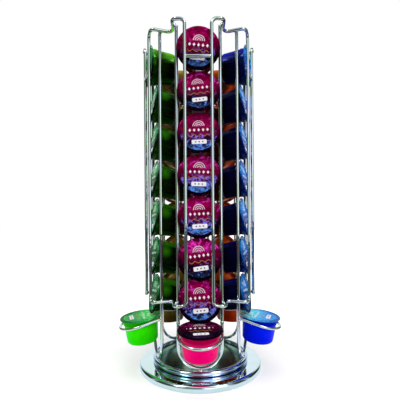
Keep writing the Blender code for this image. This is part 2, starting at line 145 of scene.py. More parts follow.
# Foil of the lids. Four numbers are a range of a noise or of millimetres, and the range that it
# becomes. Painted shade darkens the lower part, the hollows, the edge and the rolled rim. Sparkles are
# painted glints on creases near the top, and a blaze is painted light that turns the whole upper part
# bright. The streak noise gives painted reflections across the lower half, and the foot is painted light
# along the lower edge. Specks are painted glints. Rounds and chance share them out among the pieces.
FOIL_DRIFT = 16
FOIL_RISE = (-7, 8, 0, 1)
FOIL_HOLLOW_SHADE = (0.46, 0.34, 0, 0.75)
FOIL_MIDDLE = 5
FOIL_EDGE_SHADE = (10, 20, 0, 0.65)
SPARKLE_CREASES = (0.54, 0.63, 0, 1)
SPARKLE_HEIGHTS = (5, 12, 0, 1)
BLAZE_CREASES = (0.47, 0.58, 0, 1)
BLAZE_HEIGHTS = (5, 12, 0, 1)
BLAZE_ROUNDS = 61
BLAZE_CHANCE = (0.7, 0.98)
STREAK_ROUNDS = 131
STREAK_CHANCE = (0.2, 0.9)
STREAK_LIMITS = (0.66, 0.56)
STREAK_LIMIT_DROPS = (0.09, 0.115)
STREAK_CONTRAST = 14
STREAK_HEIGHTS = (0.5, -3.5, 0, 1)
FOOT_ROUNDS = 8
FOOT_CHANCE = (0.3, 0.9, 0.1, 0.9)
FOOT_HEIGHTS = (-9.5, -15.5, 0, 1)
FOOT_CREASES = (0.38, 0.58, 0.1, 1)
FOOT_TONE_HEIGHTS = (-6, -12, 0, 1)
INSIDE_SEAM = (16.2, 15.4, 0, 1)
ROLLED_EDGE_SHADE_HEIGHTS = (5, -12, 0, 0.9)
ROLLED_EDGE_SHADE_SHARE = 0.5
GLINT_SPECKS = (0.67, 0.73, 0, 0.5)
FOIL_METAL = 0.40
FOIL_METAL_GLEAM = 0.25
FOIL_FINE_SHARE = 0.25

# Lacquer of the cups, in millimetres: below 0 is the depth under the lid, and the top where light is
# painted is a height above the capsule's axis. Painted shade darkens a cup towards its bottom and under
# the rim, and a painted highlight lies on its upper side. A finish is a roughness and a specular level.
LACQUER_DRIFT = 8
LACQUER_SHADE_DEPTHS = (-18, -10, 0, 1)
NECK_SHADE_LOWER_EDGE = (-8, -4.5, 0, 1)
NECK_SHADE_UPPER_EDGE = (-1.0, -1.8, 0, 1)
FLANK_HIGHLIGHT_MIDDLE = (-8, 7)
FLANK_HIGHLIGHT_HALF_SIZE = (7, 7)
FLANK_HIGHLIGHT_CORE = 0.1
LIT_CREST_TOP = 15.5
LIT_CREST_START = 10.5
TOP_CUP_LIT_CREST_START = 1
DRAWN_RING_RATE = 9.0
DRAWN_RING_DEPTH = 0.05
LYING_CUP_FINISH = (0.32, 0.06)
STANDING_CUP_FINISH = (0.12, 0.6)

# Colours of the columns, as a screen shows them. Cups: body, bottom and neck, where bottom and
# neck are darker by painted shade; standing cups are a copy of the lying cups' colours in painted
# shade. Light: sheen, which tints the gloss, then a painted highlight on the upper side, painted light
# along the top, and painted light along the top of the top cup. Lids: upper part, lower part in painted
# shade, painted reflections across the lower half, painted light along the foot, and painted glints on
# creases. Lying lids are a copy of the foil in tones painted for the light on a lid that faces up.
COLUMN_COLOURS = {
    "crimson": {
        "lying_cup": [(252, 0, 122), (240, 0, 112), (176, 0, 72)],
        "shaded_standing_cup": [(84, 0, 40), (16, 1, 10), (50, 0, 24)],
        "light": [(255, 60, 160), (150, 0, 70), (130, 0, 60), (190, 0, 90)],
        "standing_lid": [(164, 0, 76), (14, 2, 18), (148, 124, 255), (92, 150, 246), (246, 60, 210)],
        "lying_lid": [(110, 2, 60), (14, 3, 18), (110, 40, 160), (80, 40, 120), (220, 60, 170)],
    },
    "blue": {
        "lying_cup": [(0, 30, 255), (0, 22, 238), (0, 18, 190)],
        "shaded_standing_cup": [(3, 6, 44), (2, 3, 14), (2, 6, 50)],
        "light": [(90, 130, 255), (3, 8, 60), (8, 18, 150), (14, 16, 230)],
        "standing_lid": [(16, 164, 255), (4, 48, 160), (220, 255, 226), (140, 240, 255), (226, 255, 240)],
        "lying_lid": [(122, 240, 255), (66, 162, 245), (190, 236, 210), (84, 190, 255), (235, 245, 180)],
    },
    "copper": {
        "lying_cup": [(190, 58, 14), (150, 40, 8), (140, 40, 10)],
        "shaded_standing_cup": [(176, 54, 12), (52, 12, 4), (120, 34, 8)],
        "light": [(255, 150, 80), (190, 70, 20), (200, 76, 24), (230, 100, 30)],
        "standing_lid": [(190, 84, 36), (54, 16, 10), (255, 190, 120), (240, 150, 90), (255, 220, 170)],
        "lying_lid": [(190, 84, 36), (54, 16, 10), (255, 190, 120), (240, 150, 90), (255, 220, 170)],
    },
    "bronze": {
        "lying_cup": [(110, 88, 34), (70, 54, 18), (76, 60, 20)],
        "shaded_standing_cup": [(72, 56, 14), (20, 16, 5), (84, 64, 16)],
        "light": [(255, 220, 120), (96, 76, 24), (140, 112, 34), (190, 160, 60)],
        "standing_lid": [(150, 120, 50), (40, 30, 12), (230, 210, 130), (210, 180, 90), (250, 235, 170)],
        "lying_lid": [(150, 120, 50), (40, 30, 12), (230, 210, 130), (210, 180, 90), (250, 235, 170)],
    },
    "green": {
        "lying_cup": [(52, 250, 0), (36, 224, 0), (34, 180, 0)],
        "shaded_standing_cup": [(9, 34, 2), (1, 6, 1), (8, 32, 4)],
        "light": [(120, 255, 20), (48, 136, 8), (76, 206, 4), (124, 255, 6)],
        "standing_lid": [(70, 190, 110), (4, 24, 12), (170, 250, 210), (100, 230, 160), (215, 250, 225)],
        "lying_lid": [(84, 244, 112), (40, 164, 86), (150, 240, 130), (110, 230, 100), (225, 245, 200)],
    },
}

# Stage. Tones are linear. An edge is where a tone starts to change and where the change ends, in metres
# on the floor, and by a direction's height or bearing in the studio.
WHITE = (1, 1, 1, 1)
BLACK = (0, 0, 0, 1)
FLOOR_HALF_SIZE = 6
FLOOR_ROUGHNESS = 0.9
FLOOR_TONE = (0.80, 0.80, 0.80, 1)
FLOOR_GLOW_AT_FOOT = (0.30, 0.30, 0.30, 1)
FLOOR_GLOW_EDGE = (0.10, 0.60)
MIRRORED_FLOOR_NEAR = (0.82, 0.90, 0.94, 1)
MIRRORED_FLOOR_NEAR_EDGE = (0.14, 0.26)
MIRRORED_FLOOR_FAR = (0.08, 0.08, 0.09, 1)
MIRRORED_FLOOR_FAR_EDGE = (0.80, 1.00)
# From the front of the tower to its back, on both sides
MIRRORED_FLOOR_BANDS = [
    (0.00, (0.05, 0.05, 0.06, 1)),
    (0.20, (0.06, 0.06, 0.06, 1)),
    (0.30, (0.36, 0.44, 0.36, 1)),
    (0.48, (0.44, 0.50, 0.46, 1)),
    (0.54, (0.03, 0.04, 0.04, 1)),
    (0.74, (0.04, 0.05, 0.05, 1)),
    (0.82, (0.90, 0.95, 0.95, 1)),
    (1.00, (1.0, 1.0, 1.0, 1)),
]
WORLD_LIGHT = (0.60, 0.60, 0.60, 1)
# Once round the tower from the back, with the front in the middle
MIRRORED_STUDIO_BANDS = [
    (0.00, (0.96, 1.0, 1.0, 1)),
    (0.10, (0.86, 0.95, 0.98, 1)),
    (0.14, (0.02, 0.03, 0.02, 1)),
    (0.23, (0.03, 0.04, 0.03, 1)),
    (0.25, (0.60, 0.66, 0.62, 1)),
    (0.27, (0.03, 0.05, 0.03, 1)),
    (0.34, (0.04, 0.06, 0.04, 1)),
    (0.38, (0.30, 0.38, 0.28, 1)),
    (0.44, (0.20, 0.25, 0.18, 1)),
    (0.50, (0.26, 0.30, 0.28, 1)),
    (0.53, (1.50, 1.60, 1.65, 1)),
    (0.62, (1.30, 1.42, 1.48, 1)),
    (0.65, (0.56, 0.54, 0.76, 1)),
    (0.68, (0.04, 0.05, 0.05, 1)),
    (0.73, (0.03, 0.04, 0.03, 1)),
    (0.75, (0.60, 0.66, 0.66, 1)),
    (0.77, (0.03, 0.04, 0.04, 1)),
    (0.86, (0.02, 0.03, 0.02, 1)),
    (0.90, (0.86, 0.95, 0.98, 1)),
    (1.00, (0.96, 1.0, 1.0, 1)),
]
UPPER_STUDIO_TONE = (0.12, 0.14, 0.14, 1)
UPPER_STUDIO_EDGE = (0.50, 0.64)
CEILING_TONE = (1.05, 1.12, 1.12, 1)
CEILING_EDGE = (0.74, 0.84)
CEILING_BACK_EDGE = (0.02, -0.14)
WINDOW_TONE = (9, 9, 9, 1)
WINDOW_SIDE_EDGES = [(0.62, 0.72), (1.00, 0.90)]
WINDOW_HEIGHT_EDGES = [(0.62, 0.68), (0.90, 0.86)]
LAMP_AIM = (0, 0, 0.15)
# Place, size and power
LAMPS = {
    "front_softbox": ((0.25, -0.9, 0.95), 0.6, 3.0),
    "left_softbox": ((-0.9, -0.35, 0.55), 0.5, 3.5),
    "right_softbox": ((0.9, -0.3, 0.45), 0.5, 3.5),
    "top_softbox": ((0.0, -0.1, 1.1), 0.4, 2.0),
}

# Layout worked out from the sizes above
COLUMN_STEP = 2 * math.pi / COLUMN_COUNT
LEG_OFFSET = FLANGE_RADIUS - LEG_CATCH + WIRE_RADIUS
LOOP_BAR_OFFSET = LEG_OFFSET + 2 * WIRE_RADIUS + SEAT_GAP
CATCH_MIDDLE = (LEG_OFFSET - WIRE_RADIUS + FLANGE_RADIUS) / 2
HOOP_HALF_WIDTH = NECK_RADIUS + HOOP_SLACK + HOOP_WIRE_RADIUS
HOOP_START_RADIUS = LEG_RADIUS + WIRE_RADIUS + SEAT_GAP
LEG_BOTTOM_HEIGHT = RING_HEIGHT + RING_ROD_RADIUS + SEAT_GAP + WIRE_RADIUS


def chord_half(radius, offset):
    """Half the chord of a circle at a distance from its centre."""
    return math.sqrt(radius ** 2 - offset ** 2)


LID_RADIUS = (LEG_RADIUS + WIRE_RADIUS + SEAT_GAP + FLANGE_THICKNESS * math.cos(STACK_LEAN)
              + chord_half(FLANGE_RADIUS, CATCH_MIDDLE) * math.sin(STACK_LEAN))
RETAINER_RADIUS = (LID_RADIUS + WIRE_RADIUS + SEAT_GAP
                   + chord_half(FLANGE_RADIUS, RETAINER_HALF_GAP) * math.sin(STACK_LEAN))


# Node helpers

SOCKETS = {"specular_ior_level": "Specular IOR Level"}
PIECE_SHIFT = 500
NOISE_RANGE = (0.3, 0.7)


def srgb(red, green, blue):
    """Linear colour from the 0 to 255 values that a screen shows."""
    def linear(value):
        share = value / 255
        return share / 12.92 if share <= 0.04045 else ((share + 0.055) / 1.055) ** 2.4

    return (linear(red), linear(green), linear(blue), 1)


def add_node(tree, kind, **settings):
    """A node with its settings."""
    node = tree.nodes.new(kind)
    for key, value in settings.items():
        setattr(node, key, value)
    return node


def feed(tree, socket, value):
    """Link a socket, or set its constant."""
    if isinstance(value, bpy.types.NodeSocket):
        tree.links.new(value, socket)
    else:
        socket.default_value = value


def calc(tree, operation, *values, clamp=False):
    """The result of a Math node."""
    node = add_node(tree, "ShaderNodeMath", operation=operation, use_clamp=clamp)
    for socket, value in zip(node.inputs, values):
        feed(tree, socket, value)
    return node.outputs[0]


def mix_colour(tree, factor, first, second):
    """The result of a colour Mix node."""
    node = add_node(tree, "ShaderNodeMix", data_type="RGBA")
    feed(tree, node.inputs["Factor"], factor)
    feed(tree, node.inputs["A"], first)
    feed(tree, node.inputs["B"], second)
    return node.outputs["Result"]


def ramp(tree, factor, stops):
    """A colour ramp of (position, colour) stops."""
    node = add_node(tree, "ShaderNodeValToRGB")
    elements = node.color_ramp.elements
    elements.remove(elements[0])
    elements[0].position, elements[0].color = stops[0]
    for position, colour in stops[1:]:
        elements.new(position).color = colour
    feed(tree, node.inputs[0], factor)
    return node.outputs[0]


def grain(tree, vector, scale, detail=3.0, roughness=0.5, distortion=0.0):
    """Noise between 0 and 1."""
    node = add_node(tree, "ShaderNodeTexNoise")
    feed(tree, node.inputs["Vector"], vector)
    node.inputs["Scale"].default_value = scale
    node.inputs["Detail"].default_value = detail
    node.inputs["Roughness"].default_value = roughness
    node.inputs["Distortion"].default_value = distortion
    return node.outputs[0]


def spread(tree, value, low, high, to_low, to_high):
    """Map a range of values to another range, clamped."""
    node = add_node(tree, "ShaderNodeMapRange")
    for socket, number in zip(node.inputs, (value, low, high, to_low, to_high)):
        feed(tree, socket, number)
    return node.outputs[0]


def fade(tree, value, start, end):
    """0 where a value is at its start, 1 where it is at its end."""
    return spread(tree, value, start, end, 0, 1)


def offset_by(tree, value, width):
    """A value between 0 and 1 as an offset to both sides of 0."""
    return calc(tree, "MULTIPLY", calc(tree, "SUBTRACT", value, 0.5), width)


def bump(tree, height, strength, distance):
    """A normal bent by a height."""
    node = add_node(tree, "ShaderNodeBump")
    node.inputs["Strength"].default_value = strength
    node.inputs["Distance"].default_value = distance
    feed(tree, node.inputs["Height"], height)
    return node.outputs[0]


def split(tree, vector):
    """The three coordinates of a vector."""
    axes = add_node(tree, "ShaderNodeSeparateXYZ")
    feed(tree, axes.inputs[0], vector)
    return axes.outputs


def object_millimetres(tree):
    """Object coordinates in millimetres."""
    place = add_node(tree, "ShaderNodeTexCoord").outputs["Object"]
    scale = add_node(tree, "ShaderNodeVectorMath", operation="SCALE")
    feed(tree, scale.inputs[0], place)
    scale.inputs["Scale"].default_value = 1000
    return scale.outputs[0]


def shifted_by_piece(tree, vector):
    """The vector moved by a different amount for each piece."""
    random = add_node(tree, "ShaderNodeObjectInfo").outputs["Random"]
    offset = calc(tree, "MULTIPLY", random, PIECE_SHIFT)
    move = add_node(tree, "ShaderNodeVectorMath", operation="ADD")
    feed(tree, move.inputs[0], vector)
    feed(tree, move.inputs[1], offset)
    return move.outputs[0]


def luck(tree, rounds):
    """A number between 0 and 1 for each piece. Other rounds give other numbers."""
    random = add_node(tree, "ShaderNodeObjectInfo").outputs["Random"]
    return calc(tree, "PINGPONG", calc(tree, "MULTIPLY", random, rounds), 1)


def new_material(name, **values):
    """A material, its tree and its Principled shader with constants set."""
    material = bpy.data.materials.new(name)
    material.use_nodes = True
    tree = material.node_tree
    shader = tree.nodes["Principled BSDF"]
    for key, value in values.items():
        shader.inputs[SOCKETS.get(key, key.replace("_", " ").title())].default_value = value
    return material, tree, shader


def vary_roughness(tree, shader, noise, smooth, rough):
    """Let the roughness follow a noise."""
    feed(tree, shader.inputs["Roughness"], spread(tree, noise, *NOISE_RANGE, smooth, rough))


# Metals, nylon and rubber

def chrome_material(name, cool, warm, roughness, ripple):
    """Bright chrome: two faint casts that drift into each other, fine scratches and a slight ripple."""
    material, tree, shader = new_material(name, metallic=1.0)
    place = object_millimetres(tree)
    haze = fade(tree, grain(tree, place, scale=0.06, detail=4), start=0.38, end=0.62)
    feed(tree, shader.inputs["Base Color"], mix_colour(tree, haze, warm, cool))
    scratches = grain(tree, place, scale=2.5, detail=6, roughness=0.7)
    feed(tree, shader.inputs["Roughness"],
         spread(tree, scratches, low=0.35, high=0.75, to_low=roughness * 0.6, to_high=roughness * 1.6))
    waves = grain(tree, place, scale=0.35, detail=2)
    feed(tree, shader.inputs["Normal"], bump(tree, waves, strength=ripple, distance=0.0002))
    return material


def zinc_material():
    """Zinc plated steel with its mottled, slightly yellow passivation."""
    material, tree, shader = new_material("zinc_plate", metallic=1.0)
    place = object_millimetres(tree)
    mottle = grain(tree, place, scale=0.5, detail=5)
    feed(tree, shader.inputs["Base Color"],
         mix_colour(tree, mottle, srgb(168, 170, 172), srgb(206, 203, 188)))
    vary_roughness(tree, shader, grain(tree, place, scale=4), smooth=0.25, rough=0.45)
    pits = grain(tree, place, scale=6)
    feed(tree, shader.inputs["Normal"], bump(tree, pits, strength=0.15, distance=0.0001))
    return material


def steel_ball_material():
    """Bearing steel with a thin film of grease."""
    material, tree, shader = new_material("bearing_steel", metallic=1.0)
    film = grain(tree, object_millimetres(tree), scale=0.8, detail=4)
    feed(tree, shader.inputs["Base Color"],
         mix_colour(tree, film, srgb(196, 199, 203), srgb(160, 150, 128)))
    vary_roughness(tree, shader, film, smooth=0.12, rough=0.35)
    return material


def nylon_material():
    """Milky nylon."""
    material, tree, shader = new_material("washer_nylon")
    cloud = grain(tree, object_millimetres(tree), scale=0.9)
    feed(tree, shader.inputs["Base Color"],
         mix_colour(tree, cloud, srgb(232, 231, 222), srgb(244, 243, 238)))
    vary_roughness(tree, shader, cloud, smooth=0.4, rough=0.55)
    return material


def rubber_material():
    """Matt black rubber with a fine pebble."""
    material, tree, shader = new_material("sole_rubber")
    place = object_millimetres(tree)
    dust = grain(tree, place, scale=0.3, detail=5)
    feed(tree, shader.inputs["Base Color"], mix_colour(tree, dust, srgb(24, 24, 25), srgb(48, 47, 46)))
    vary_roughness(tree, shader, dust, smooth=0.7, rough=0.9)
    pebble = grain(tree, place, scale=3.5)
    feed(tree, shader.inputs["Normal"], bump(tree, pebble, strength=0.4, distance=0.0002))
    return material


# Capsule materials

def below(tree, value, edge):
    """1 where a value in millimetres lies below an edge, 0 above it."""
    short = calc(tree, "SUBTRACT", edge + PRINT_SOFTNESS / 2, value)
    return calc(tree, "DIVIDE", short, PRINT_SOFTNESS, clamp=True)


def both(tree, *masks):
    """The product of masks."""
    result = masks[0]
    for mask in masks[1:]:
        result = calc(tree, "MULTIPLY", result, mask)
    return result


def either(tree, *masks):
    """The largest of masks."""
    result = masks[0]
    for mask in masks[1:]:
        result = calc(tree, "MAXIMUM", result, mask)
    return result


def length_of(tree, across, along):
    """Distance of a point from the origin of two coordinates."""
    return calc(tree, "SQRT", calc(tree, "ADD", calc(tree, "MULTIPLY", across, across),
                                   calc(tree, "MULTIPLY", along, along)))


def print_group():
    """Masks of a plain printed ornament: fan of arcs, row of lozenges, wave, and a pale bar with dots."""
    group = bpy.data.node_groups.new("lid_print", "ShaderNodeTree")
    for name in ("White", "Gold", "Ink"):
        group.interface.new_socket(name, in_out="OUTPUT", socket_type="NodeSocketFloat")
    result = add_node(group, "NodeGroupOutput")
    random = add_node(group, "ShaderNodeObjectInfo").outputs["Random"]
    turn = add_node(group, "ShaderNodeVectorRotate", rotation_type="Z_AXIS")
    feed(group, turn.inputs["Vector"], object_millimetres(group))
    feed(group, turn.inputs["Angle"], offset_by(group, random, PRINT_TURN))
    x, y, _ = split(group, turn.outputs[0])
    side = calc(group, "ABSOLUTE", x)

    above_fan = calc(group, "SUBTRACT", y, FAN_BASE)
    fan_reach = length_of(group, x, above_fan)
    arcs = below(group, calc(group, "PINGPONG", fan_reach, FAN_ARC_HALF_PITCH), FAN_ARC_HALF_WIDTH)
    upper_half = below(group, calc(group, "MULTIPLY", above_fan, -1), 0)
    fan = both(group, arcs, below(group, fan_reach, FAN_RADIUS), upper_half)

    row_height = calc(group, "ABSOLUTE", calc(group, "SUBTRACT", y, ROW_HEIGHT))
    lozenge = calc(group, "ADD", calc(group, "PINGPONG", x, LOZENGE_HALF_PITCH),
                   calc(group, "MULTIPLY", row_height, LOZENGE_WIDTH_TO_HEIGHT))
    row = both(group, below(group, lozenge, LOZENGE_HALF_WIDTH), below(group, side, ROW_HALF_LENGTH))

    swing = calc(group, "MULTIPLY", calc(group, "SINE", calc(group, "MULTIPLY", x, WAVE_RATE)), WAVE_SWING)
    wave_height = calc(group, "ABSOLUTE", calc(group, "SUBTRACT", calc(group, "ADD", y, WAVE_DROP), swing))
    wave = both(group, below(group, wave_height, WAVE_HALF_WIDTH), below(group, side, WAVE_HALF_LENGTH))

    above_bar = calc(group, "ADD", y, BAR_DROP)
    past_end = calc(group, "MAXIMUM", calc(group, "SUBTRACT", side, BAR_HALF_LENGTH), 0)
    past_edge = calc(group, "MAXIMUM",
                     calc(group, "SUBTRACT", calc(group, "ABSOLUTE", above_bar), BAR_HALF_HEIGHT), 0)
    bar = below(group, length_of(group, past_end, past_edge), BAR_CORNER)
    dot = length_of(group, calc(group, "PINGPONG", x, DOT_HALF_PITCH), above_bar)
    dots = both(group, below(group, dot, DOT_RADIUS), below(group, side, DOTS_HALF_LENGTH))

    feed(group, result.inputs["White"], either(group, fan, row, bar))
    feed(group, result.inputs["Gold"], wave)
    feed(group, result.inputs["Ink"], dots)
    return group


def foil_glints(tree, x, y, height, loose, gleam):
    """Mask of painted reflections: lines across the lower half and light along the foot of a lid."""
    streak = grain(tree, loose, scale=0.26, detail=5, roughness=0.65, distortion=1.4)
    limits = [limit - drop * gleam for limit, drop in zip(STREAK_LIMITS, STREAK_LIMIT_DROPS)]
    limit = spread(tree, luck(tree, STREAK_ROUNDS), *STREAK_CHANCE, *limits)
    reflection_streaks = calc(tree, "MULTIPLY", calc(tree, "SUBTRACT", streak, limit), STREAK_CONTRAST, clamp=True)
    foot_light = both(tree, spread(tree, y, *FOOT_HEIGHTS), spread(tree, streak, *FOOT_CREASES),
                      spread(tree, luck(tree, FOOT_ROUNDS), *FOOT_CHANCE))
    return either(tree, both(tree, reflection_streaks, spread(tree, height, *STREAK_HEIGHTS)), foot_light)


def lid_material(name, print_masks, tones, gleam, roughness):
    """Printed foil. Painted shade deepens the colour downwards, in the hollows, towards the edge and on
    the rolled edge; painted glints, a painted blaze and painted reflections light it.
    """
    upper, lower, glint, foot, spark = tones
    # Tone of the painted shade on the rolled edge
    edge = [share * ROLLED_EDGE_SHADE_SHARE for share in lower[:3]] + [1]
    material, tree, shader = new_material(name, specular_ior_level=0.1)
    place = object_millimetres(tree)
    x, y, _ = split(tree, place)
    loose = shifted_by_piece(tree, place)
    crinkle = grain(tree, loose, scale=0.22, detail=6, roughness=0.62, distortion=0.8)
    height = calc(tree, "ADD", y, offset_by(tree, crinkle, FOIL_DRIFT))
    off_middle = length_of(tree, x, calc(tree, "SUBTRACT", y, FOIL_MIDDLE))
    inside_seam = spread(tree, length_of(tree, x, y), *INSIDE_SEAM)

    # Painted shade: the lower part of the foil turns to the darker lower tone
    ground = mix_colour(tree, spread(tree, height, *FOIL_RISE), lower, upper)
    # Painted shade in the hollows of the crinkles
    ground = mix_colour(tree, spread(tree, crinkle, *FOIL_HOLLOW_SHADE), ground, lower)
    # Painted shade towards the edge, away from a bright middle in the upper half
    ground = mix_colour(tree, spread(tree, off_middle, *FOIL_EDGE_SHADE), ground, lower)
    # Painted glints on the creases near the top
    sparkle = both(tree, spread(tree, crinkle, *SPARKLE_CREASES), spread(tree, height, *SPARKLE_HEIGHTS))
    ground = mix_colour(tree, sparkle, ground, spark)
    # Painted highlight over the upper part, on some pieces
    blaze = both(tree, spread(tree, crinkle, *BLAZE_CREASES), spread(tree, y, *BLAZE_HEIGHTS),
                 spread(tree, luck(tree, BLAZE_ROUNDS), *BLAZE_CHANCE, 0, gleam))
    ground = mix_colour(tree, blaze, ground, spark)
    # Painted reflections across the lower half and along the foot
    glints = both(tree, foil_glints(tree, x, y, height, loose, gleam), inside_seam)
    glint_tone = mix_colour(tree, spread(tree, y, *FOOT_TONE_HEIGHTS), glint, foot)
    ground = mix_colour(tree, glints, ground, glint_tone)
    # Painted shade on the rolled edge, deeper towards the bottom
    rolled = both(tree, calc(tree, "SUBTRACT", 1, inside_seam), spread(tree, y, *ROLLED_EDGE_SHADE_HEIGHTS))
    ground = mix_colour(tree, rolled, ground, edge)
    # Painted glints as small specks over the foil
    glint_specks = spread(tree, grain(tree, loose, scale=1.1, detail=2), *GLINT_SPECKS)
    ground = mix_colour(tree, glint_specks, ground, spark)

    white, gold, ink = add_node(tree, "ShaderNodeGroup", node_tree=print_masks).outputs
    printed = mix_colour(tree, gold, ground, srgb(176, 120, 38))
    printed = mix_colour(tree, white, printed, srgb(240, 236, 240))
    printed = mix_colour(tree, ink, printed, srgb(40, 34, 42))
    feed(tree, shader.inputs["Base Color"], printed)
    feed(tree, shader.inputs["Specular Tint"], printed)
    bare = calc(tree, "SUBTRACT", 1, either(tree, white, gold, blaze))
    metal = FOIL_METAL + FOIL_METAL_GLEAM * gleam
    feed(tree, shader.inputs["Metallic"], calc(tree, "MULTIPLY", bare, metal))
    vary_roughness(tree, shader, crinkle, smooth=roughness * 0.7, rough=roughness * 1.3)
    fine = grain(tree, loose, scale=0.9, detail=4)
    relief = calc(tree, "ADD", crinkle, calc(tree, "MULTIPLY", fine, FOIL_FINE_SHARE))
    feed(tree, shader.inputs["Normal"], bump(tree, relief, strength=0.70, distance=0.0010))
    return material


def patch(tree, along, across, middle, half_size, core):
    """1 in the core of an ellipse, fading to 0 at its outline."""
    reach = length_of(tree, calc(tree, "DIVIDE", calc(tree, "SUBTRACT", along, middle[0]), half_size[0]),
                      calc(tree, "DIVIDE", calc(tree, "SUBTRACT", across, middle[1]), half_size[1]))
    return fade(tree, reach, start=1, end=core)


def cup_material(name, tones, finish, sheen, light=None):
    """Lacquered cup with faint drawing lines. Painted shade deepens its tone towards its bottom
    and under the rim.

    The light of a standing cup is painted: the tone of a painted highlight on its upper side, the tone
    of painted light along its top, and the height where that light starts.
    """
    body_tone, bottom_shade_tone, neck_shade_tone = tones
    roughness, gloss = finish
    material, tree, shader = new_material(name, specular_ior_level=gloss, specular_tint=sheen)
    place = object_millimetres(tree)
    _, up, depth = split(tree, place)
    cloud = grain(tree, shifted_by_piece(tree, place), scale=0.25, detail=4)
    drifted = calc(tree, "ADD", depth, offset_by(tree, cloud, LACQUER_DRIFT))
    # Painted shade: the tone darkens towards the bottom of the cup
    body = mix_colour(tree, spread(tree, drifted, *LACQUER_SHADE_DEPTHS), bottom_shade_tone, body_tone)
    # Painted shade under the rim, on the neck of the cup
    neck = both(tree, spread(tree, depth, *NECK_SHADE_LOWER_EDGE), spread(tree, depth, *NECK_SHADE_UPPER_EDGE))
    body = mix_colour(tree, neck, body, neck_shade_tone)
    if light:
        flank_highlight_tone, crest_light_tone, crest_start = light
        # Painted light along the top of the cup
        body = mix_colour(tree, fade(tree, up, crest_start, LIT_CREST_TOP), body, crest_light_tone)
        # Painted highlight on the upper side of the cup
        flank_highlight = patch(tree, depth, up, FLANK_HIGHLIGHT_MIDDLE, FLANK_HIGHLIGHT_HALF_SIZE, FLANK_HIGHLIGHT_CORE)
        body = mix_colour(tree, flank_highlight, body, flank_highlight_tone)
    feed(tree, shader.inputs["Base Color"], body)
    vary_roughness(tree, shader, cloud, smooth=roughness * 0.8, rough=roughness * 1.25)
    rings = calc(tree, "SINE", calc(tree, "MULTIPLY", depth, DRAWN_RING_RATE))
    relief = calc(tree, "ADD", cloud, calc(tree, "MULTIPLY", rings, DRAWN_RING_DEPTH))
    feed(tree, shader.inputs["Normal"], bump(tree, relief, strength=0.12, distance=0.0005))
    return material


# Shapes

def spin_outline(outline, segments, closed):
    """A smooth turned mesh from the (radius, height) points of its half section."""
    work = bmesh.new()
    points = [work.verts.new((radius, 0, height)) for radius, height in outline]
    pairs = list(zip(points, points[1:]))
    if closed:
        pairs.append((points[-1], points[0]))
    for pair in pairs:
        work.edges.new(pair)
    bmesh.ops.spin(work, geom=list(work.verts) + list(work.edges), cent=(0, 0, 0), axis=(0, 0, 1),
                   angle=2 * math.pi, steps=segments, use_merge=True, use_duplicate=False)
    bmesh.ops.remove_doubles(work, verts=work.verts, dist=MERGE_DISTANCE)
    bmesh.ops.recalc_face_normals(work, faces=work.faces)
    mesh = bpy.data.meshes.new("turned")
    work.to_mesh(mesh)
    work.free()
    mesh.shade_smooth()
    mesh.set_sharp_from_angle(angle=SHARP_ANGLE)
    return mesh


def arc_points(centre, radius, start, end, steps):
    """Points of an arc in an outline, angles in degrees."""
    angles = [math.radians(start + (end - start) * step / steps) for step in range(steps + 1)]
    return [(centre[0] + radius * math.cos(angle), centre[1] + radius * math.sin(angle))
            for angle in angles]


def lid_outline():
    """Half section of the foil: a shallow dish, a pressed seam and the flat of the flange."""
    seam = [(LID_SEAM_RADIUS + LID_SEAM_WIDTH * (share - 0.5),
             -LID_DISH * (0.5 + 0.5 * math.cos(2 * math.pi * share)))
            for share in (step / LID_SEAM_STEPS for step in range(LID_SEAM_STEPS + 1))]
    dish = [(LID_SEAM_RADIUS * share, -LID_DISH * (LID_MIDDLE_SHARE + (1 - LID_MIDDLE_SHARE) * share ** 2))
            for share in (step / LID_DISH_STEPS for step in range(LID_DISH_STEPS))]
    return dish + seam + [(FLANGE_RADIUS - FLANGE_THICKNESS, -LID_DISH / 2),
                          (FLANGE_RADIUS - FLANGE_THICKNESS / 2, 0)]


def cup_outline():
    """Half section of the cup: rolled rim, neck, step, tapering wall, round bottom edge and recess."""
    rim_radius = FLANGE_THICKNESS / 2
    rim = arc_points((FLANGE_RADIUS - rim_radius, -rim_radius), rim_radius, 90, -90, EDGE_STEPS)
    step_depth = NECK_DEPTH + CUP_SHOULDER
    neck_fillet = arc_points((NECK_RADIUS + CUP_SHOULDER, -FLANGE_THICKNESS - CUP_SHOULDER), CUP_SHOULDER,
                             90, 180, FILLET_STEPS)
    shoulder = [(NECK_RADIUS, -NECK_DEPTH + CUP_SHOULDER),
                (NECK_RADIUS - CUP_SHOULDER * SHOULDER_DRAFT, -NECK_DEPTH),
                (NECK_RADIUS - CUP_SHOULDER, -step_depth)]
    bottom_round = arc_points((CUP_BOTTOM_RADIUS - CUP_BOTTOM_ROUND, -CUP_HEIGHT + CUP_BOTTOM_ROUND),
                              CUP_BOTTOM_ROUND, 0, -90, EDGE_STEPS)
    recess = [(CUP_RECESS_RADIUS + CUP_RECESS_DEPTH, -CUP_HEIGHT),
              (CUP_RECESS_RADIUS, -CUP_HEIGHT + CUP_RECESS_DEPTH), (0, -CUP_HEIGHT + CUP_RECESS_DEPTH)]
    return rim + neck_fillet + shoulder + bottom_round + recess


def capsule_mesh():
    """Foil and cup as one mesh. The foil's faces, down round the rim, are on the second material slot."""
    lid = lid_outline()
    mesh = spin_outline(lid + cup_outline()[1:], CAPSULE_SEGMENTS, closed=False)
    rim_radius = lid[-1][0]
    for polygon in mesh.polygons:
        centre = polygon.center
        foil_depth = LID_DISH + SEAT_GAP if math.hypot(centre.x, centre.y) < rim_radius else FOIL_FOLD
        polygon.material_index = 1 if centre.z > -foil_depth else 0
    return mesh


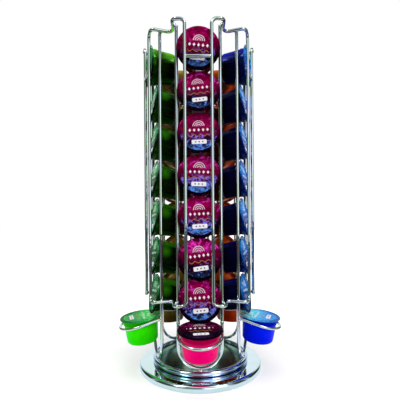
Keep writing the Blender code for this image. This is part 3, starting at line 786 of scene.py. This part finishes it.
def capsule_place(node, turn, tilt):
    """Matrix of a capsule: origin at its lid's centre, +Z out of the lid. Read from its CAD solid."""
    spin = Matrix.Rotation(turn, 4, "Z") @ Matrix.Rotation(tilt, 4, "X")
    axis = spin.to_3x3() @ Vector((0, 0, 1))
    corners = [vertex.co.copy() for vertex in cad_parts[node].data.vertices]
    top = max(corner.dot(axis) for corner in corners)
    rim = {corner.to_tuple(LID_POINT_DECIMALS) for corner in corners
           if corner.dot(axis) > top - LID_PLANE_TOLERANCE}
    centre = sum((Vector(corner) for corner in rim), Vector()) / len(rim)
    return Matrix.Translation(centre) @ spin


def bend_points(before, corner, after, radius):
    """Points of a round bend that replaces one corner of a wire."""
    towards = (before - corner).normalized()
    away = (after - corner).normalized()
    half_angle = towards.angle(away) / 2
    reach = radius / math.tan(half_angle)
    centre = corner + (towards + away).normalized() * (radius / math.sin(half_angle))
    first = (corner + towards * reach - centre).normalized()
    last = (corner + away * reach - centre).normalized()
    return [centre + radius * first.slerp(last, step / BEND_STEPS) for step in range(BEND_STEPS + 1)]


def place_in_column(offset, radius, height, turn=0):
    """A point by its sideways offset, its distance from the axis and its height."""
    return Matrix.Rotation(turn, 3, "Z") @ Vector((offset, -radius, height))


def domed_path(points, radius):
    """Points of a wire with the share of its radius at each, rounded off at both ends."""
    def dome(tip, inner):
        inward = (inner - tip).normalized()
        return [(tip + inward * radius * (1 - math.sin(angle)), math.cos(angle))
                for angle in WIRE_END_ANGLES]

    middle = [(point, 1) for point in points[1:-1]]
    return dome(points[0], points[1]) + middle + dome(points[-1], points[-2])[::-1]


def wire_mesh(name, runs):
    """Round wires: each run is its points, its radius and whether it closes on itself."""
    curve = bpy.data.curves.new(name, "CURVE")
    curve.dimensions = "3D"
    curve.bevel_depth = runs[0][1]
    curve.bevel_resolution = WIRE_SIDES_RESOLUTION
    curve.use_fill_caps = True
    for points, radius, closed in runs:
        path = [(point, 1) for point in points] if closed else domed_path(points, radius)
        spline = curve.splines.new("POLY")
        spline.points.add(len(path) - 1)
        for slot, (point, share) in zip(spline.points, path):
            slot.co = (*point, 1)
            slot.radius = share * radius / runs[0][1]
        spline.use_cyclic_u = closed
        spline.use_smooth = True
    blank = bpy.data.objects.new(name, curve)
    bpy.context.scene.collection.objects.link(blank)
    graph = bpy.context.evaluated_depsgraph_get()
    mesh = bpy.data.meshes.new_from_object(blank.evaluated_get(graph))
    bpy.data.objects.remove(blank, do_unlink=True)
    bpy.data.curves.remove(curve)
    return mesh


def leg_frame_points(top_height):
    """U frame: two straight legs joined by a half circle at the bottom."""
    centre_height = LEG_BOTTOM_HEIGHT + LEG_OFFSET
    points = [place_in_column(-LEG_OFFSET, LEG_RADIUS, top_height)]
    for step in range(ARC_STEPS + 1):
        turn = math.pi * step / ARC_STEPS
        points.append(place_in_column(-LEG_OFFSET * math.cos(turn), LEG_RADIUS,
                                      centre_height - LEG_OFFSET * math.sin(turn)))
    points.append(place_in_column(LEG_OFFSET, LEG_RADIUS, top_height))
    return points


def hoop_points():
    """Hoop from leg to leg, sloping down and outwards round the lowest capsule."""
    def sloped(offset, radius):
        height = HOOP_START_HEIGHT - (radius - HOOP_START_RADIUS) * math.tan(HOOP_SLOPE)
        return place_in_column(offset, radius, height)

    points = [sloped(-LEG_OFFSET, LEG_RADIUS)]
    for step in range(ARC_STEPS + 1):
        turn = math.pi * step / ARC_STEPS
        points.append(sloped(-HOOP_HALF_WIDTH * math.cos(turn),
                             CRADLE_RADIUS + HOOP_HALF_WIDTH * math.sin(turn)))
    points.append(sloped(LEG_OFFSET, LEG_RADIUS))
    return points


def corner_loop_points(top_height):
    """Closed wire round the corner between a column and the next one to its right."""
    corner_radius = LOOP_BAR_OFFSET / math.tan(COLUMN_STEP / 2)
    plan = [
        (RETAINER_HALF_GAP, RETAINER_RADIUS, 0),
        (LOOP_BAR_OFFSET, RETAINER_RADIUS, 0),
        (LOOP_BAR_OFFSET, corner_radius, 0),
        (-LOOP_BAR_OFFSET, RETAINER_RADIUS, COLUMN_STEP),
        (-RETAINER_HALF_GAP, RETAINER_RADIUS, COLUMN_STEP),
    ]
    top = [place_in_column(offset, radius, top_height, turn) for offset, radius, turn in plan]
    bottom = [place_in_column(offset, radius, LOOP_BOTTOM_HEIGHT, turn) for offset, radius, turn in plan]
    corners = top + bottom[::-1]
    points = []
    for before, corner, after in zip(corners[-1:] + corners, corners, corners[1:] + corners[:1]):
        points += bend_points(before, corner, after, LOOP_BEND_RADIUS)
    return points


def tie_bar_points(height):
    """Bar across one column between the bars that hold its lids."""
    return [place_in_column(side * RETAINER_HALF_GAP, RETAINER_RADIUS, height) for side in (-1, 1)]


def bead_mesh(places):
    """Weld beads at their places, each with the direction that it is drawn out along."""
    work = bmesh.new()
    for place, along in places:
        turn = along.to_track_quat("Z", "Y").to_matrix().to_4x4()
        stretch = Matrix.Diagonal((1, 1, BEAD_LENGTH_SHARE, 1))
        bmesh.ops.create_uvsphere(work, u_segments=BEAD_SEGMENTS, v_segments=BEAD_RINGS, radius=BEAD_RADIUS,
                                  matrix=Matrix.Translation(place) @ turn @ stretch)
    mesh = bpy.data.meshes.new("beads")
    work.to_mesh(mesh)
    work.free()
    mesh.shade_smooth()
    return mesh


def add_piece(name, data, materials, body, replaced=(), place=None):
    """Put a piece on its body and let it stand for the CAD nodes that it replaces."""
    if not data.materials:
        for material in materials:
            data.materials.append(material)
    piece = bpy.data.objects.new(name, data)
    piece.matrix_world = place or Matrix.Identity(4)
    bpy.context.scene.collection.objects.link(piece)
    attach(piece, body)
    if replaced:
        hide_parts(*replaced)


# The object

def build_columns(chrome):
    """Leg frames with their hoops, and corner loops with their tie bars."""
    top_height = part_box("leg_frame_1")[1].z
    tie_height = top_height - TIE_BAR_DROP
    frame_mesh = wire_mesh("leg_frame", [(leg_frame_points(top_height), WIRE_RADIUS, False),
                                         (hoop_points(), HOOP_WIRE_RADIUS, False)])
    loop_mesh = wire_mesh("corner_loop", [(corner_loop_points(top_height), WIRE_RADIUS, True),
                                          (tie_bar_points(tie_height), WIRE_RADIUS, False)])
    up = Vector((0, 0, 1))
    across = Vector((1, 0, 0))
    seam_offset = (LEG_OFFSET + LOOP_BAR_OFFSET) / 2
    beads = bead_mesh(
        [(place_in_column(side * LEG_OFFSET, LEG_RADIUS + WIRE_RADIUS / 2, HOOP_START_HEIGHT), up)
         for side in (-1, 1)]
        + [(place_in_column(side * seam_offset, LEG_RADIUS, height), up)
           for side in (-1, 1) for height in (top_height - WIRE_RADIUS / 2, LOOP_BOTTOM_HEIGHT)]
        + [(place_in_column(0, (LEG_RADIUS + RING_RADIUS) / 2, LEG_BOTTOM_HEIGHT - WIRE_RADIUS), across)])
    for column in range(COLUMN_COUNT):
        number = column + 1
        turn = Matrix.Rotation(column * COLUMN_STEP, 4, "Z")
        add_piece(f"leg_frame_wire_{number}", frame_mesh, [chrome], "rotor", [f"leg_frame_{number}"], turn)
        add_piece(f"corner_loop_wire_{number}", loop_mesh, [chrome], "rotor", [f"corner_loop_{number}"],
                  turn)
        add_piece(f"weld_beads_{number}", beads, [chrome], "rotor", place=turn)


def build_capsules(column_materials):
    """Seven standing capsules and one in the hoop for each column."""
    for column, (cup, shaded_cup, lit_top_cup, lid, cradle_lid) in enumerate(column_materials):
        turn = column * COLUMN_STEP
        number = column + 1
        lying = capsule_mesh()
        node = f"cradle_capsule_{number}"
        add_piece(f"lying_{node}", lying, [cup, cradle_lid], "rotor", [node],
                  capsule_place(node, turn, CRADLE_TILT))
        standing = capsule_mesh()
        for level in range(1, STACK_COUNT + 1):
            node = f"capsule_{number}_{level}"
            on_top = level == STACK_COUNT
            place = capsule_place(node, turn, math.pi / 2 - (0 if on_top else STACK_LEAN))
            # The top capsule gets the copy with painted light, the others the copy in painted shade
            mesh, finish = (capsule_mesh(), lit_top_cup) if on_top else (standing, shaded_cup)
            add_piece(f"standing_{node}", mesh, [finish, lid], "rotor", [node], place)


def base_disc_outline():
    """Half section of the pressed disc: well, flat top, rounded edge and skirt."""
    centre = (BASE_RADIUS - BASE_EDGE_ROUND, BASE_TOP_HEIGHT - BASE_EDGE_ROUND)
    outer_edge = arc_points(centre, BASE_EDGE_ROUND, 90, 0, EDGE_STEPS)
    inner_edge = arc_points(centre, BASE_EDGE_ROUND - BASE_SHEET, 0, 90, EDGE_STEPS)
    well_rim = WELL_RADIUS + WELL_WALL_RUN
    return [
        (PIVOT_BORE_RADIUS, WELL_FLOOR_HEIGHT + BASE_SHEET),
        (WELL_RADIUS, WELL_FLOOR_HEIGHT + BASE_SHEET),
        (well_rim, BASE_TOP_HEIGHT),
        *outer_edge,
        (BASE_RADIUS, BASE_SKIRT_CLEARANCE),
        (BASE_RADIUS - BASE_SHEET, BASE_SKIRT_CLEARANCE),
        *inner_edge,
        (well_rim + BASE_SHEET, BASE_TOP_HEIGHT - BASE_SHEET),
        (WELL_RADIUS + BASE_SHEET, WELL_FLOOR_HEIGHT),
        (PIVOT_BORE_RADIUS, WELL_FLOOR_HEIGHT),
    ]


def build_base(sheet_chrome, rod_chrome):
    """Smooth disc and ring in place of the faceted ones."""
    disc = spin_outline(base_disc_outline(), BASE_SEGMENTS, closed=True)
    add_piece("polished_base_disc", disc, [sheet_chrome], "stand", ["base_disc"])
    turns = [2 * math.pi * step / RING_SEGMENTS for step in range(RING_SEGMENTS)]
    ring_points = [place_in_column(0, RING_RADIUS, RING_HEIGHT, turn) for turn in turns]
    ring = wire_mesh("ring", [(ring_points, RING_ROD_RADIUS, True)])
    add_piece("polished_turntable_ring", ring, [rod_chrome], "rotor", ["turntable_ring"])


def dress_nodes(materials):
    """Finishes of the CAD nodes that stay."""
    for name, material in materials.items():
        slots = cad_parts[name].data.materials
        slots.clear()
        slots.append(material)


# Stage

def bearing_of(tree, x, y):
    """Angle about the tower, 0 in front of it and growing to the right."""
    return calc(tree, "ARCTAN2", x, calc(tree, "MULTIPLY", y, -1))


def build_floor():
    """Pale floor that shows as white and keeps the shadow."""
    work = bmesh.new()
    bmesh.ops.create_grid(work, x_segments=1, y_segments=1, size=FLOOR_HALF_SIZE)
    mesh = bpy.data.meshes.new("floor")
    work.to_mesh(mesh)
    work.free()
    material, tree, shader = new_material("floor", roughness=FLOOR_ROUGHNESS, specular_ior_level=0)
    x, y, _ = split(tree, add_node(tree, "ShaderNodeTexCoord").outputs["Object"])
    reach = length_of(tree, x, y)
    bearing = calc(tree, "ABSOLUTE", bearing_of(tree, x, y))
    bands = ramp(tree, fade(tree, bearing, 0, math.pi), MIRRORED_FLOOR_BANDS)
    mirrored = mix_colour(tree, fade(tree, reach, *MIRRORED_FLOOR_NEAR_EDGE), MIRRORED_FLOOR_NEAR, bands)
    mirrored = mix_colour(tree, fade(tree, reach, *MIRRORED_FLOOR_FAR_EDGE), mirrored, MIRRORED_FLOOR_FAR)
    path = add_node(tree, "ShaderNodeLightPath")
    feed(tree, shader.inputs["Base Color"],
         mix_colour(tree, path.outputs["Is Glossy Ray"], FLOOR_TONE, BLACK))
    plain = mix_colour(tree, fade(tree, reach, *FLOOR_GLOW_EDGE), FLOOR_GLOW_AT_FOOT, WHITE)
    glow = mix_colour(tree, path.outputs["Is Glossy Ray"], plain, mirrored)
    feed(tree, shader.inputs["Emission Color"], glow)
    seen = either(tree, path.outputs["Is Camera Ray"], path.outputs["Is Glossy Ray"],
                  path.outputs["Is Transmission Ray"])
    feed(tree, shader.inputs["Emission Strength"], seen)
    floor = bpy.data.objects.new("floor", mesh)
    mesh.materials.append(material)
    bpy.context.scene.collection.objects.link(floor)


def build_world():
    """White to the eye, softer light on the object, and dark bands that polished metal mirrors."""
    world = bpy.data.worlds.new("studio")
    bpy.context.scene.world = world
    world.use_nodes = True
    tree = world.node_tree
    ground = tree.nodes["Background"]
    x, y, z = split(tree, add_node(tree, "ShaderNodeTexCoord").outputs["Generated"])
    bearing = bearing_of(tree, x, y)
    bands = ramp(tree, fade(tree, bearing, -math.pi, math.pi), MIRRORED_STUDIO_BANDS)
    mirrored = mix_colour(tree, fade(tree, z, *UPPER_STUDIO_EDGE), bands, UPPER_STUDIO_TONE)
    ceiling = both(tree, fade(tree, z, *CEILING_EDGE), fade(tree, y, *CEILING_BACK_EDGE))
    mirrored = mix_colour(tree, ceiling, mirrored, CEILING_TONE)
    side = calc(tree, "ABSOLUTE", bearing)
    window = both(tree, *[fade(tree, side, *edge) for edge in WINDOW_SIDE_EDGES],
                  *[fade(tree, z, *edge) for edge in WINDOW_HEIGHT_EDGES])
    mirrored = mix_colour(tree, window, mirrored, WINDOW_TONE)
    path = add_node(tree, "ShaderNodeLightPath")
    lit = mix_colour(tree, path.outputs["Is Glossy Ray"], WORLD_LIGHT, mirrored)
    seen = either(tree, path.outputs["Is Camera Ray"], path.outputs["Is Transmission Ray"])
    feed(tree, ground.inputs["Color"], mix_colour(tree, seen, lit, WHITE))
    ground.inputs["Strength"].default_value = 1


def build_lamps():
    """Square soft lamps in front, at both sides and above, which polished surfaces don't show."""
    for name, (place, size, power) in LAMPS.items():
        lamp = bpy.data.lights.new(name, "AREA")
        lamp.shape = "SQUARE"
        lamp.size = size
        lamp.energy = power
        holder = bpy.data.objects.new(name, lamp)
        holder.location = place
        holder.visible_glossy = False
        holder.rotation_euler = (Vector(LAMP_AIM) - Vector(place)).to_track_quat("-Z", "Y").to_euler()
        bpy.context.scene.collection.objects.link(holder)


def build_camera():
    """The photograph's view."""
    camera = bpy.data.cameras.new("camera")
    camera.sensor_width = CAMERA_SENSOR
    camera.lens = CAMERA_FOCAL_PIXELS / FRAME_PIXELS * CAMERA_SENSOR
    camera.shift_y = CAMERA_HORIZON_PIXELS / FRAME_PIXELS
    camera.clip_start = CAMERA_CLIP_START
    holder = bpy.data.objects.new("camera", camera)
    level = Matrix.Rotation(math.pi / 2, 4, "X")
    holder.matrix_world = Matrix.Translation(CAMERA_PLACE) @ level @ Matrix.Rotation(-CAMERA_ROLL, 4, "Z")
    bpy.context.scene.collection.objects.link(holder)
    bpy.context.scene.camera = holder


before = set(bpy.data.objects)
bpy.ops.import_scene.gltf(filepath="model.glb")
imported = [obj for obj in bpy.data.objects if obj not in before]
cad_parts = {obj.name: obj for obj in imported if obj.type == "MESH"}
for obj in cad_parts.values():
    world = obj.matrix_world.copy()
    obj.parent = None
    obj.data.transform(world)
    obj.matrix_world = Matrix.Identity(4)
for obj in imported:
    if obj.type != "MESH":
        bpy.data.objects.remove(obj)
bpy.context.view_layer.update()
bpy.context.scene.view_settings.view_transform = "Standard"

wire_chrome = chrome_material("chrome_wire", cool=srgb(226, 234, 250), warm=srgb(214, 226, 208),
                              roughness=0.05, ripple=0.20)
sheet_chrome = chrome_material("base_chrome", cool=srgb(222, 236, 244), warm=srgb(214, 234, 232),
                               roughness=0.05, ripple=0.10)
rod_chrome = chrome_material("turntable_chrome", cool=srgb(204, 216, 244), warm=srgb(186, 214, 222),
                             roughness=0.06, ripple=0.15)
plate_chrome = chrome_material("plate_chrome", cool=srgb(60, 132, 126), warm=srgb(128, 164, 124),
                               roughness=0.20, ripple=0.12)
zinc = zinc_material()
print_masks = print_group()

# Lying cups carry the capsules' own colours. The standing cups (cup_*_deep) are a copy in painted shade,
# and the top cup (cup_*_top) a copy with painted light along its top.
column_materials = []
for name, colours in COLUMN_COLOURS.items():
    tones = {part: [srgb(*colour) for colour in part_colours] for part, part_colours in colours.items()}
    sheen, flank_highlight, crest_light, top_crest_light = tones["light"]
    cup = cup_material(f"cup_{name}", tones["lying_cup"], LYING_CUP_FINISH, sheen)
    shaded_cup = cup_material(f"cup_{name}_deep", tones["shaded_standing_cup"], STANDING_CUP_FINISH, sheen,
                            light=(flank_highlight, crest_light, LIT_CREST_START))
    lid = lid_material(f"foil_{name}", print_masks, tones["standing_lid"], gleam=1.0, roughness=0.22)
    # Copy of the foil in other tones, painted for the light on a lid that faces up
    cradle_lid = lid_material(f"foil_{name}_lying", print_masks, tones["lying_lid"],
                              gleam=0.0, roughness=0.26)
    # Copy of the standing cup with painted light along its top, where nothing above shades it
    lit_top_cup = cup_material(f"cup_{name}_top", tones["shaded_standing_cup"], STANDING_CUP_FINISH, sheen,
                           light=(tones["shaded_standing_cup"][0], top_crest_light, TOP_CUP_LIT_CREST_START))
    column_materials.append((cup, shaded_cup, lit_top_cup, lid, cradle_lid))

build_columns(wire_chrome)
build_capsules(column_materials)
build_base(sheet_chrome, rod_chrome)
dress_nodes({
    "non_slip_base_cover": rubber_material(),
    "pivot_rivet": zinc,
    "pivot_washer": nylon_material(),
    "lower_bearing_race": zinc,
    "upper_bearing_race": zinc,
    "ball_cage_with_balls": steel_ball_material(),
    "turntable_plate": plate_chrome,
})
build_floor()
build_world()
build_lamps()
build_camera()
